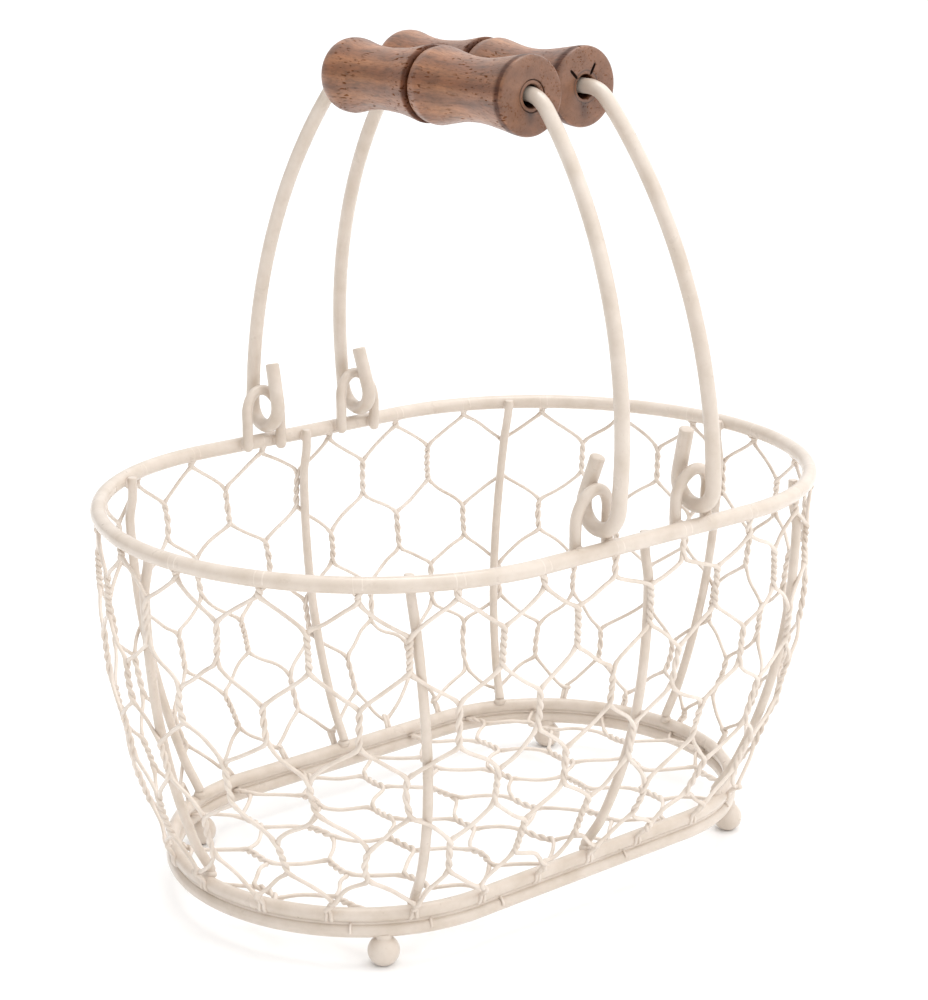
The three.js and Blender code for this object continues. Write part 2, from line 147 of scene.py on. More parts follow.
# The bore is at its full radius between these distances from the two ends.
BORE_FULL = (6, 9)
ROUND_HALF = (
    (0.0, 0.66), (0.006, 0.75), (0.015, 0.835), (0.028, 0.908), (0.05, 0.963), (0.08, 0.97),
    (0.12, 0.908), (0.165, 0.846), (0.215, 0.807), (0.265, 0.8), (0.315, 0.816), (0.365, 0.842),
    (0.415, 0.897), (0.455, 0.95), (0.479, 0.981), (0.487, 0.979), (0.4925, 0.955), (0.4955, 0.9),
    (0.498, 0.82), (0.5, 0.8),
)
FLARED_HALF = (
    (0.5045, 0.8), (0.506, 0.885), (0.5085, 0.925), (0.515, 0.945), (0.55, 0.988), (0.58, 0.955),
    (0.62, 0.897), (0.665, 0.838), (0.715, 0.805), (0.765, 0.8), (0.815, 0.827), (0.865, 0.876),
    (0.915, 0.933), (0.955, 0.981), (0.98, 1.0), (0.9865, 0.998), (0.993, 0.985), (0.9975, 0.96),
    (1.0, 0.915),
)

WALNUT = ((92, 55, 34), (116, 73, 47), (135, 89, 59), (160, 109, 73))
END_GRAIN = ((106, 71, 51), (128, 89, 67))
WALNUT_PORE = (72, 42, 29)
WALNUT_BORE_DARK = (58, 38, 31)
WALNUT_SMEAR_AND_SHADOW = (56, 35, 28)
WALNUT_CRACK = (24, 15, 12)
CRACK_DEPTH = 6
# Cracks on a grip's end face: middle from its axis across and up, turn, length and width.
GRIP_CRACKS = {
    "a": (),
    "b": (((-5.6, 4.25), math.radians(-49), 5.2, 0.66), ((2.9, 5.7), math.radians(25.5), 4.8, 0.66)),
}

# Netting: in rows of twists down the wall, and rows of twists across the floor
NET_COLUMNS = 24
NET_PHASE = 0.49
NET_DRIFT = 0.167
NET_DRIFT_START = 2.5
NET_DRIFT_LENGTH = 10.0
NET_OUTSET = 0.5
NET_TOP = 136.6
NET_FIRST_JOIN = 134.7
NET_FRONT_SAG = 5.6
NET_ROW = 25.2
NET_TWIST = 15.0
NET_ROWS = 5
FLOOR_HEIGHT = 15.2
FLOOR_PITCH = 29.0
FLOOR_ROW = 26.0
FLOOR_TWIST = 15.0
FLOOR_SHIFT = (1.5, 12.5)
FLOOR_ROWS = range(-4, 5)
FLOOR_WIRES = range(-12, 13)
NET_WIRE = 0.72
TWIST_RADIUS = 0.68
FLOOR_EDGE_GAP = 1.2
TAIL_WIRE = 0.52
WALL_LOOSENESS = (0.75, 0.35)
FLOOR_LOOSENESS = 2.1
# Each wire's turn round the rim, how far it starts clear of the rim's wire and how far it then sinks in.
RIM_TURN = math.radians(285)
RIM_TURN_CLEAR = 0.4
RIM_TURN_SINK = 1.04
# Each wire's way down over the upper base ring: its first angle, its turn and how far it sinks in.
BASE_TURN_START = math.radians(48)
BASE_TURN = math.radians(-112)
BASE_TURN_SINK = (0.55, 1.0)


def node_box(node):
    """Lowest and highest corner of a CAD node, in millimetres."""
    low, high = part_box(node)
    return np.array(low) / MM, np.array(high) / MM


def joint_place(name):
    """Where a joint is, in millimetres."""
    joint = next(j for j in frame["joints"] if j["name"] == name)
    return np.array(joint["pos_m"]) / MM


class Ring:
    """An oval ring: straight sides joined by half-ellipse ends."""

    def __init__(self, node, end_length, facet):
        low, high = node_box(node)
        self.wire = (high[2] - low[2]) / 2
        self.height = (high[2] + low[2]) / 2
        self.middle = (high[0] + low[0]) / 2
        self.half_length = (high[0] - low[0]) / 2 - self.wire * facet
        self.half_width = high[1] - self.wire * facet
        self.end_length = end_length


RIM = Ring("rim_ring", RIM_END_LENGTH, RIM_FACET)
UPPER = Ring("base_ring_upper", BASE_END_LENGTH, 1.0)
LOWER = Ring("base_ring_lower", BASE_END_LENGTH, 1.0)
SEAM_HEIGHT = (UPPER.height + LOWER.height) / 2


# ---- The wall's surface ----
def oval_point(size, station, height, outset=0.0):
    """A point on an oval of size (half length, half width, end length, middle). Stations run 0 to 4: 0-1 is
    the right end from front to rear, 1-2 the rear side, 2-3 the left end and 3-4 the front side."""
    half_length, half_width, end_length, middle = size
    w = station % 4
    turned = 1 if w < 2 else -1
    w %= 2
    centre = half_length - end_length
    if w < 1:
        angle = math.pi * (w - 0.5)
        x = centre + (end_length + outset) * math.cos(angle)
        y = (half_width + outset) * math.sin(angle)
    else:
        x = centre * (3 - 2 * w)
        y = half_width + outset
    return np.array((middle + turned * x, turned * y, height))


def size_at(height):
    t = (RIM.height - height) / (RIM.height - UPPER.height)
    inward = math.copysign(abs(t) ** WALL_POWER, t) - WALL_BULGE * math.sin(math.pi * t)
    return tuple(
        getattr(RIM, name) + (getattr(UPPER, name) - getattr(RIM, name)) * inward
        for name in ("half_length", "half_width", "end_length", "middle")
    )


def size_of(ring):
    return ring.half_length, ring.half_width, ring.end_length, ring.middle


def wall_point(station, height, outset=0.0):
    return oval_point(size_at(height), station, height, outset)


def lengths_of(size):
    """Length along one end and one side of an oval, and all the way round."""
    half_length, half_width, end_length, _ = size
    end = math.pi * math.sqrt((end_length**2 + half_width**2) / 2)
    side = 2 * (half_length - end_length)
    return end, side, 2 * (end + side)


def station_at(fraction, size):
    """Station for a fraction of the way round an oval from the middle of its right end."""
    end, side, total = lengths_of(size)
    along = (fraction * total + end / 2) % total
    for station, length in enumerate((end, side, end, side)):
        if along < length:
            return station + along / length
        along -= length
    return 0.0


def smoothstep(x, low, high):
    t = min(max((x - low) / (high - low), 0.0), 1.0)
    return t * t * (3 - 2 * t)


# ---- Meshes ----
class Parts:
    """Vertices and faces of one piece, collected from several closed solids."""

    def __init__(self):
        self.vertices = []
        self.faces = []
        self.count = 0

    def add(self, vertices, faces):
        self.vertices.append(np.asarray(vertices, float))
        self.faces.extend(tuple(i + self.count for i in face) for face in faces)
        self.count += len(vertices)

    def build(self, name, material, body, slot, node, sharp):
        mesh = bpy.data.meshes.new(name)
        mesh.from_pydata((np.concatenate(self.vertices) * MM).tolist(), [], self.faces)
        mesh.polygons.foreach_set("use_smooth", [True] * len(mesh.polygons))
        mesh.set_sharp_from_angle(angle=math.radians(sharp))
        mesh.materials.append(material)
        mesh.validate()
        piece = bpy.data.objects.new(name, mesh)
        bpy.context.scene.collection.objects.link(piece)
        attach(piece, body)
        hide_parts(node)


def build_coated(parts, node, material, body="basket", sharp=50):
    parts.build(node + "_coated", material, body, "cream_powder_coat", node, sharp)


def build_netting(parts, node, material):
    parts.build(node + "_twisted", material, "basket", "netting_coat", node, sharp=80)


def directions(points, closed):
    if closed:
        step = np.roll(points, -1, axis=0) - np.roll(points, 1, axis=0)
    else:
        step = np.gradient(points, axis=0)
    return step / np.linalg.norm(step, axis=1)[:, None]


def ring_faces(rows, columns, capped):
    """Faces between rings of vertices, closed by two caps or joined into a loop."""
    faces = []
    for i in range(rows - 1 if capped else rows):
        here = i * columns
        there = ((i + 1) % rows) * columns
        for j in range(columns):
            k = (j + 1) % columns
            faces.append((here + j, here + k, there + k, there + j))
    if capped:
        faces.append(tuple(range(columns - 1, -1, -1)))
        faces.append(tuple((rows - 1) * columns + j for j in range(columns)))
    return faces


def sweep(points, radius, sides=20, closed=False, cap="round"):
    """A wire along points. radius is a number or one per point. cap is round or cut."""
    points = np.asarray(points, float)
    radii = np.broadcast_to(np.asarray(radius, float), (len(points),)).copy()
    tangents = directions(points, closed)
    if not closed:
        points, radii, tangents = with_caps(points, radii, tangents, cap)
    count = len(points)
    start = np.cross(tangents[0], (0.0, 0.0, 1.0))
    if np.linalg.norm(start) < 0.1:
        start = np.cross(tangents[0], (1.0, 0.0, 0.0))
    normals = [start / np.linalg.norm(start)]
    for i in range(1, count):
        normal = normals[-1] - tangents[i] * normals[-1].dot(tangents[i])
        normals.append(normal / np.linalg.norm(normal))
    normals = np.array(normals)
    binormals = np.cross(tangents, normals)
    angles = np.arange(sides) * 2 * math.pi / sides
    if closed:
        last = normals[-1] - tangents[0] * normals[-1].dot(tangents[0])
        slip = math.atan2(last.dot(binormals[0]), last.dot(normals[0]))
        angles = angles[None, :] - slip * np.arange(count)[:, None] / count
    else:
        angles = np.broadcast_to(angles, (count, sides))
    ring = (
        normals[:, None, :] * np.cos(angles)[..., None]
        + binormals[:, None, :] * np.sin(angles)[..., None]
    )
    vertices = (points[:, None, :] + ring * radii[:, None, None]).reshape(-1, 3)
    return vertices, ring_faces(count, sides, capped=not closed)


def with_caps(points, radii, tangents, cap):
    """Adds the rings that close a wire's two ends: a dome, or a cut face with a soft edge."""
    if cap == "round":
        steps = [(math.sin(math.radians(a)), math.cos(math.radians(a))) for a in (80, 58, 34, 15)]
    else:
        steps = [(0.0, 0.55), (-0.02, 0.8), (-0.1, 0.95)]
    out = []
    for end, sign in ((0, -1), (-1, 1)):
        rings = [
            (points[end] + sign * tangents[end] * radii[end] * along, radii[end] * share)
            for along, share in steps
        ]
        out.append(rings if end == 0 else rings[::-1])
    if cap != "round":
        inset = 0.24
        points[0] += tangents[0] * radii[0] * inset
        points[-1] -= tangents[-1] * radii[-1] * inset
    points = np.array([p for p, _ in out[0]] + list(points) + [p for p, _ in out[1]])
    radii = np.array([r for _, r in out[0]] + list(radii) + [r for _, r in out[1]])
    tangents = np.array(
        [tangents[0]] * len(steps) + list(tangents) + [tangents[-1]] * len(steps)
    )
    return points, radii, tangents


def smoothed(points, passes, closed=False):
    points = np.array(points, float)
    for _ in range(passes):
        if closed:
            points = (np.roll(points, 1, 0) + 2 * points + np.roll(points, -1, 0)) / 4
        else:
            points[1:-1] = (points[:-2] + 2 * points[1:-1] + points[2:]) / 4
    return points


def resampled(points, step):
    """The same path with points at an even spacing."""
    points = np.asarray(points, float)
    along = np.concatenate(([0], np.cumsum(np.linalg.norm(np.diff(points, axis=0), axis=1))))
    count = max(2, int(round(along[-1] / step)) + 1)
    at = np.linspace(0, along[-1], count)
    return np.stack([np.interp(at, along, points[:, k]) for k in range(3)], axis=1)


def uneven(count, share, rng, waves=5, closed=False):
    """Smooth factors near 1 along a wire, for coating that is a little thicker here and thinner there."""
    t = np.linspace(0, 2 * math.pi, count, endpoint=not closed)
    out = np.ones(count)
    for k in range(1, waves + 1):
        turns = k * 3 if closed else k * 2.3
        out += share / waves * np.sin(turns * t + rng.uniform(0, 2 * math.pi))
    return out


def bead(centre, axes, rng, rows=14, columns=20, uneven_share=0.07):
    """A small weld bead under the coating. axes are three half-axis vectors."""
    axes = np.array(axes, float)
    phases = [rng.uniform(0, 2 * math.pi) for _ in range(4)]
    vertices = []
    for i in range(rows + 1):
        polar = math.pi * (0.02 + 0.96 * i / rows)
        for j in range(columns):
            turn = 2 * math.pi * j / columns
            lump = 1 + uneven_share * (
                math.sin(2 * turn + phases[0]) * math.sin(2 * polar + phases[1])
                + 0.6 * math.sin(3 * turn + phases[2]) * math.sin(3 * polar + phases[3])
            )
            local = (
                math.sin(polar) * math.cos(turn),
                math.sin(polar) * math.sin(turn),
                math.cos(polar),
            )
            vertices.append(np.asarray(centre) + lump * (np.array(local) @ axes))
    return vertices, [face[::-1] for face in ring_faces(rows + 1, columns, capped=True)]


# ---- Materials ----
def linear(red, green, blue):
    """A colour given as it looks on screen, 0 to 255, as the shader's linear values."""
    def channel(value):
        value /= 255
        return value / 12.92 if value <= 0.04045 else ((value + 0.055) / 1.055) ** 2.4
    return channel(red), channel(green), channel(blue), 1.0


class Shader:
    """Short calls for building one material's nodes."""

    def __init__(self, name):
        self.material = bpy.data.materials.new(name)
        self.material.use_nodes = True
        self.tree = self.material.node_tree
        self.tree.nodes.clear()
        self.principled = self.node("ShaderNodeBsdfPrincipled")
        self.node("ShaderNodeOutputMaterial", {"Surface": self.principled.outputs[0]})
        self.coordinates = self.node("ShaderNodeTexCoord").outputs["Object"]

    def link(self, source, target):
        self.tree.links.new(source, target)

    def node(self, kind, inputs=None, **settings):
        made = self.tree.nodes.new(kind)
        for key, value in settings.items():
            setattr(made, key, value)
        for key, value in (inputs or {}).items():
            if isinstance(value, bpy.types.NodeSocket):
                self.link(value, made.inputs[key])
            else:
                made.inputs[key].default_value = value
        return made

    def stretched(self, scale, location=(0, 0, 0), rotation=(0, 0, 0)):
        inputs = {"Vector": self.coordinates, "Scale": scale, "Location": location, "Rotation": rotation}
        return self.node("ShaderNodeMapping", inputs).outputs[0]

    def noise(self, scale, vector=None, detail=3.0, roughness=0.55, distortion=0.0):
        inputs = {
            "Vector": self.coordinates if vector is None else vector,
            "Scale": scale,
            "Detail": detail,
            "Roughness": roughness,
            "Distortion": distortion,
        }
        return self.node("ShaderNodeTexNoise", inputs).outputs["Fac"]

    def ramp(self, value, stops):
        made = self.node("ShaderNodeValToRGB", {"Fac": value})
        elements = made.color_ramp.elements
        while len(elements) < len(stops):
            elements.new(0.5)
        for element, (position, colour) in zip(elements, stops):
            element.position = position
            element.color = colour if isinstance(colour, tuple) else (colour, colour, colour, 1)
        return made.outputs["Color"]

    def math(self, operation, a, b=0.0):
        return self.node("ShaderNodeMath", {0: a, 1: b}, operation=operation).outputs[0]

    def times(self, a, b):
        return self.math("MULTIPLY", a, b)

    def power(self, value, exponent):
        return self.math("POWER", self.math("ABSOLUTE", value), exponent)

    def mix(self, factor, a, b, blend="MIX"):
        inputs = {0: factor, 6: a, 7: b}
        return self.node("ShaderNodeMix", inputs, data_type="RGBA", blend_type=blend).outputs[2]

    def bump(self, height, distance, strength=1.0, normal=None):
        inputs = {"Height": height, "Distance": distance, "Strength": strength}
        if normal is not None:
            inputs["Normal"] = normal
        return self.node("ShaderNodeBump", inputs).outputs[0]


def coating(name, light, mid, dark, roughness):
    """Cream powder coat: thick, satin, faintly mottled, with an orange-peel skin and a few nibs."""
    shader = Shader(name)
    mottle = shader.noise(95.0, detail=4.0, roughness=0.6)
    tone = shader.ramp(mottle, ((0.3, dark), (0.52, mid), (0.72, light)))
    patches = shader.noise(22.0, detail=2.0)
    warm = shader.ramp(patches, ((0.35, (0.93, 0.9, 0.86, 1)), (0.6, (1, 1, 1, 1))))
    tone = shader.mix(0.35, tone, warm, "MULTIPLY")
    specks = shader.noise(1500.0, detail=1.0)
    speck = shader.ramp(specks, ((0.72, 0.0), (0.78, 1.0)))
    tone = shader.mix(shader.times(speck, 0.22), tone, linear(176, 150, 124))
    shader.link(tone, shader.principled.inputs["Base Color"])
    gloss = shader.noise(160.0, detail=3.0)
    rough = shader.ramp(gloss, ((0.3, roughness - 0.07), (0.7, roughness + 0.1)))
    shader.link(rough, shader.principled.inputs["Roughness"])
    peel = shader.noise(520.0, detail=2.0)
    pools = shader.noise(130.0, detail=2.0)
    skin = shader.bump(pools, 0.0001, 0.5)
    skin = shader.bump(peel, 0.00005, 0.6, skin)
    skin = shader.bump(speck, 0.00006, 0.5, skin)
    shader.link(skin, shader.principled.inputs["Normal"])
    shader.principled.inputs["Coat Weight"].default_value = 0.45
    shader.principled.inputs["Coat Roughness"].default_value = 0.14
    return shader.material


def crack_mask(shader, centre, angle, length, width):
    """1 inside a short narrow crack on a grip's end face, fading to 0 at its sides and ends."""
    inputs = {
        "Vector": shader.coordinates,
        "Location": tuple(c * MM for c in centre),
        "Rotation": (0, angle, 0),
    }
    local = shader.node("ShaderNodeMapping", inputs, vector_type="TEXTURE").outputs[0]
    split = shader.node("ShaderNodeSeparateXYZ", {"Vector": local})
    across = shader.math("DIVIDE", split.outputs["X"], width * MM)
    along = shader.math("DIVIDE", split.outputs["Z"], length * MM / 2)
    apart = shader.math("ADD", shader.power(across, 2.0), shader.power(along, 4.0))
    deep = shader.math("DIVIDE", split.outputs["Y"], CRACK_DEPTH * MM)
    apart = shader.math("ADD", apart, shader.power(deep, 2.0))
    return shader.ramp(apart, ((0.35, 1.0), (1.0, 0.0)))


def walnut(letter):
    """Oiled walnut turned along Y: faint rings, fine fibre, short dark pores and a few long streaks. The
    groove has painted shade, the flared edge darker wood with painted shade, the bore's mouth and score
    are darker, and below the bore is rubbing with painted shadow of the wire."""
    shader = Shader("walnut_" + letter)
    axis_x, _, axis_z = joint_place(f"grip_{letter}_roll")
    low_end, high_end = (corner[1] for corner in node_box("grip_" + letter))
    local = shader.stretched((1, 1, 1), location=(-axis_x * MM, 0, -axis_z * MM))
    wobble = shader.noise(38.0, shader.stretched((1, 0.16, 1)), detail=2.0)
    rings = shader.node(
        "ShaderNodeTexWave",
        {
            "Vector": shader.stretched((1, 0.1, 1), location=(0.055, 0, -0.18), rotation=(0.05, 0, 0.06)),
            "Scale": 46.0,
            "Distortion": 5.5,
            "Detail": 3.0,
            "Detail Scale": 1.3,
            "Detail Roughness": 0.6,
        },
        wave_type="RINGS",
        rings_direction="Y",
        wave_profile="SIN",
    ).outputs["Fac"]
    figure = shader.math("ADD", shader.times(rings, 0.26), shader.times(wobble, 0.84))
    steps = (0.2, 0.42, 0.62, 0.85)
    tone = shader.ramp(figure, [(step, linear(*colour)) for step, colour in zip(steps, WALNUT)])
    fibre = shader.noise(1250.0, shader.stretched((1, 0.09, 1)), detail=4.0, roughness=0.75)
    tone = shader.mix(0.85, tone, shader.ramp(fibre, ((0.32, 0.6), (0.52, 1.0), (0.72, 1.2))), "MULTIPLY")
    streaks = shader.noise(560.0, shader.stretched((1, 0.14, 1)), detail=3.0, distortion=0.5)
    tone = shader.mix(0.45, tone, shader.ramp(streaks, ((0.33, 0.35), (0.4, 1.0))), "MULTIPLY")
    cloud = shader.noise(210.0, shader.stretched((1, 0.5, 1)), detail=4.0, roughness=0.7)
    tone = shader.mix(0.9, tone, shader.ramp(cloud, ((0.36, 0.78), (0.64, 1.2))), "MULTIPLY")
    pores = shader.noise(1350.0, shader.stretched((1, 0.26, 1)), detail=1.0, roughness=0.4)
    pore = shader.ramp(pores, ((0.6, 0.0), (0.66, 1.0)))
    thin = shader.ramp(shader.noise(90.0), ((0.42, 0.15), (0.58, 1.0)))
    pore = shader.times(pore, thin)
    tone = shader.mix(shader.times(pore, 0.56), tone, linear(*WALNUT_PORE))
    flush = ((0.35, (1.0, 0.95, 0.93, 1)), (0.65, (1, 1.02, 0.98, 1)))
    tone = shader.mix(0.8, tone, shader.ramp(shader.noise(30.0, detail=2.0), flush), "MULTIPLY")
    split = shader.node("ShaderNodeSeparateXYZ", {"Vector": local})
    from_end = shader.math("SUBTRACT", high_end * MM, split.outputs["Y"])
    along = shader.math("DIVIDE", from_end, (high_end - low_end) * MM)
    ragged = shader.times(shader.math("SUBTRACT", shader.noise(260.0, detail=3.0), 0.5), 0.016)
    # Painted shade in the V groove; behind the flared edge, darker wood with painted shade; the flared
    # spool is painted a little lighter.
    stain_and_painted_light_bands = shader.ramp(
        shader.math("ADD", along, ragged),
        (
            (0.0, 1.0), (0.474, 1.0), (0.486, (0.5, 0.4, 0.34, 1)), (0.503, (0.3, 0.22, 0.18, 1)),
            (0.509, 1.08), (0.95, 1.08), (0.966, (0.46, 0.36, 0.31, 1)), (0.983, (0.46, 0.36, 0.31, 1)),
            (0.989, 1.0),
        ),
    )
    tone = shader.mix(1.0, tone, stain_and_painted_light_bands, "MULTIPLY")
    end_grain = shader.ramp(along, ((0.993, 0.0), (0.998, 1.0)))
    mottled = shader.ramp(
        shader.noise(170.0, detail=4.0, roughness=0.65),
        ((0.35, linear(*END_GRAIN[0])), (0.65, linear(*END_GRAIN[1]))),
    )
    tone = shader.mix(shader.times(end_grain, 0.72), tone, mottled)
    # Darker inside the bore's mouth and in a ring round the bore at the score's radius.
    x2, z2 = (shader.power(split.outputs[axis], 2.0) for axis in "XZ")
    from_axis = shader.math("DIVIDE", shader.math("SQRT", shader.math("ADD", x2, z2)), MM)
    uneven_edge = shader.times(shader.math("SUBTRACT", shader.noise(420.0, detail=3.0), 0.5), 0.7)
    bore_distance = shader.math("DIVIDE", shader.math("ADD", from_axis, uneven_edge), 10.0)
    bore_dark = shader.ramp(
        bore_distance,
        (
            (0.34, 0.15), (0.38, 0.8), (0.43, 0.12), (0.51, 0.12),
            (0.525, 1.0), (0.55, 0.9), (0.565, 0.1), (0.66, 0.0),
        ),
    )
    tone = shader.mix(shader.times(bore_dark, 0.75), tone, linear(*WALNUT_BORE_DARK))
    # Below the bore, a darker smear on the end face: rubbing where the wire leaves, with painted shadow of
    # the wire.
    side = shader.math("ABSOLUTE", shader.math("ADD", split.outputs["X"], 0.0008))
    drop = shader.math("DIVIDE", split.outputs["Z"], -12 * MM)
    smear_and_wire_shadow = shader.times(
        shader.ramp(shader.math("DIVIDE", side, 2.4 * MM), ((0.2, 1.0), (1.0, 0.0))),
        shader.ramp(drop, ((0.36, 0.0), (0.46, 1.0), (0.62, 0.6), (0.9, 0.0))),
    )
    smear_and_wire_shadow = shader.times(smear_and_wire_shadow, end_grain)
    tone = shader.mix(shader.times(smear_and_wire_shadow, 0.8), tone, linear(*WALNUT_SMEAR_AND_SHADOW))
    dark = None
    for offset, angle, length, width in GRIP_CRACKS[letter]:
        place = (axis_x + offset[0], low_end, axis_z + offset[1])
        mask = crack_mask(shader, place, angle, length, width)
        dark = mask if dark is None else shader.math("MAXIMUM", dark, mask)
    if dark is not None:
        tone = shader.mix(dark, tone, linear(*WALNUT_CRACK))
    shader.link(tone, shader.principled.inputs["Base Color"])
    rough = shader.ramp(fibre, ((0.3, 0.54), (0.7, 0.37)))
    shader.link(rough, shader.principled.inputs["Roughness"])
    height = shader.math("SUBTRACT", shader.times(fibre, 0.35), pore)
    if dark is not None:
        height = shader.math("SUBTRACT", height, shader.times(dark, 4.0))
    grain = shader.bump(height, 0.0001, 0.7)
    shader.link(grain, shader.principled.inputs["Normal"])
    # The darker bands (painted shade in the groove, darker wood with painted shade behind the flared edge),
    # the pores and the cracks are dull.
    shine = shader.times(stain_and_painted_light_bands, shader.math("SUBTRACT", 1.0, pore))
    if dark is not None:
        shine = shader.times(shine, shader.math("SUBTRACT", 1.0, dark))
    shader.link(shader.times(shine, 0.36), shader.principled.inputs["Coat Weight"])
    shader.link(shader.times(shine, 0.5), shader.principled.inputs["Specular IOR Level"])
    shader.principled.inputs["Coat Roughness"].default_value = 0.27
    return shader.material


def floor_material():
    shader = Shader("pale_floor")
    tone = shader.ramp(shader.noise(3.0), ((0.3, linear(247, 247, 247)), (0.7, linear(249, 249, 249))))
    shader.link(tone, shader.principled.inputs["Base Color"])
    shader.principled.inputs["Roughness"].default_value = 0.85
    return shader.material


# ---- Rings, ribs and feet ----
def ring_path(ring, count):
    return [oval_point(size_of(ring), 4 * i / count, ring.height) for i in range(count)]


def make_ring(node, ring, material, rng, count=420, sides=28, filler=None):
    """A ring of wire. filler is the height and radius of a thin line of coating beside it."""
    parts = Parts()
    length = lengths_of(size_of(ring))[2]
    fine = ring_path(ring, 1600)
    path = resampled(fine + fine[:1], length / count)[:-1]
    radii = ring.wire * uneven(len(path), 0.012, rng, closed=True)
    parts.add(*sweep(path, radii, sides, closed=True))
    if filler:
        seam = path + (0, 0, filler[0] - ring.height)
        parts.add(*sweep(seam, filler[1] * uneven(len(path), 0.1, rng, 9, closed=True), 12, closed=True))
    build_coated(parts, node, material)


def rib_point(top_station, base_station, height):
    """The rib's centre line: inside the wall, stepping in round the rim's wire and the base ring."""
    share = min(max((RIM.height - height) / (RIM.height - UPPER.height), 0.0), 1.0)
    station = top_station + (base_station - top_station) * share
    near_rim = 1 - smoothstep(RIM.height - height, *RIB_RIM_STEP)
    near_base = smoothstep(-height, -RIB_BASE_STEP[0], -RIB_BASE_STEP[1])
    clear = RIM.wire + RIB_WIRE - COAT_SINK
    inset = RIB_INSET + (clear - RIB_INSET) * near_rim + RIB_BASE_INSET * near_base
    return wall_point(station, height, -inset)


def make_rib(node, at_rim, at_base, top_height, material, rng):
    stations = (at_rim, at_base)
    low = node_box(node)[0]
    steps = 90
    heights = np.linspace(top_height, low[2] + RIB_FOOT_GAP, steps)
    path = [rib_point(*stations, h) for h in heights]
    parts = Parts()
    parts.add(*sweep(path, RIB_WIRE * uneven(steps, 0.03, rng), 18, cap="cut"))
    weld_height = RIM.height - RIB_WELD_DROP
    weld = rib_point(*stations, weld_height)
    outward = wall_point(at_rim, weld_height) - weld
    outward /= np.linalg.norm(outward)
    along = np.cross(outward, (0, 0, 1))
    touch = weld + outward * RIB_WIRE
    weld_axes = (along, outward, np.array((0, 0, 1.0)))
    parts.add(*bead(touch, scaled(weld_axes, RIB_TOP_WELD), rng))
    foot = np.array(path[-1])
    foot_out = wall_point(at_base, UPPER.height, 0.0) - foot
    parts.add(*bead(foot + foot_out * 0.3, scaled(weld_axes, RIB_FOOT_WELD), rng))
    build_coated(parts, node, material)


def scaled(vectors, sizes):
    return [vector * size for vector, size in zip(vectors, sizes)]


def make_foot(node, material, rng):
    """A ball with a small worn flat under it and a short flare of coating where it meets the ring."""
    low, high = node_box(node)
    centre = (low + high) / 2
    flat = math.acos(FOOT_CENTRE / FOOT_RADIUS)
    profile = [(0.35 * FOOT_RADIUS * math.sin(flat), 0.0)]
    arcs = 34
    for i in range(arcs + 1):
        angle = (math.pi - flat) + (FOOT_NECK_ANGLE - math.pi + flat) * i / arcs
        profile.append((FOOT_RADIUS * math.sin(angle), FOOT_CENTRE + FOOT_RADIUS * math.cos(angle)))
    profile[1] = (profile[1][0], 0.0)
    profile += FOOT_NECK
    columns = 48
    phase = rng.uniform(0, 6)
    vertices = []
    for radius, height in profile:
        for j in range(columns):
            turn = 2 * math.pi * j / columns
            r = radius * (1 + 0.008 * math.sin(2 * turn + phase + height * 0.4))
            vertices.append((centre[0] + r * math.cos(turn), centre[1] + r * math.sin(turn), height))
    parts = Parts()
    parts.add(vertices, ring_faces(len(profile), columns, capped=True))
    build_coated(parts, node, material)


# ---- Lugs and bails ----
def make_lug(node, side, material, rng):
    """An arch of wire whose two legs are welded to the inner side of the rim."""
    low, high = node_box(node)
    x = (low[0] + high[0]) / 2
    y = side * (RIM.half_width - RIM.wire - LUG_WIRE + COAT_SINK)
    half = (high[0] - low[0]) / 2 - LUG_WIRE
    rise = high[2] - LUG_WIRE - LUG_SPRING
    path = [(x - half, y, h) for h in np.linspace(LUG_FEET[0] + LUG_WIRE, LUG_SPRING, 24)[:-1]]
    arcs = 60
    for i in range(arcs + 1):
        angle = math.pi * (1 - i / arcs)
        lean = side * LUG_LEAN * math.sin(angle)
        path.append((x + half * math.cos(angle), y + lean, LUG_SPRING + rise * math.sin(angle)))
    path += [(x + half, y, h) for h in np.linspace(LUG_SPRING, LUG_FEET[1] + LUG_WIRE, 24)[1:]]
    path = smoothed(resampled(path, 0.6), 8)
    parts = Parts()
    parts.add(*sweep(path, LUG_WIRE * uneven(len(path), 0.025, rng), 22))
    for sign in (-1, 1):
        touch = np.array((x + sign * half, y + side * LUG_WIRE, RIM.height + LUG_WELD_RISE))
        axes = scaled(np.diag((1.0, side, 1.0)), LUG_WELD)
        parts.add(*bead(touch, axes, rng))
    build_coated(parts, node, material)


def bail_half(straight, top, stub):
    """Half of a bail in its own plane: across is towards the lug, up is from the hooks' pivot."""
    turn = math.pi / 2 - BAIL_SIDE_ANGLE
    side_centre = BAIL_OUTER - BAIL_SIDE_RADIUS
    hook = (BAIL_OUTER - BAIL_INNER) / 2
    shoulder_across = side_centre + BAIL_SIDE_RADIUS * math.cos(BAIL_SIDE_ANGLE)
    shoulder_up = straight + BAIL_SIDE_RADIUS * math.sin(BAIL_SIDE_ANGLE)
    bend = (top - shoulder_up) / (1 - math.cos(turn))
    bend_start = shoulder_across - bend * math.sin(turn)
    points = []

    def add_arc(centre, radius, start, end, steps):
        for i in range(steps + 1):
            angle = start + (end - start) * i / steps
            points.append((centre[0] + radius * math.cos(angle), centre[1] + radius * math.sin(angle)))

    add_arc((bend_start, top - bend), bend, math.pi / 2, BAIL_SIDE_ANGLE, 40)
    add_arc((side_centre, straight), BAIL_SIDE_RADIUS, BAIL_SIDE_ANGLE, 0, 120)
    add_arc((BAIL_INNER + hook, hook), hook, 0, -math.pi, 60)
    points.append((BAIL_INNER + stub[1], stub[0]))
    return points


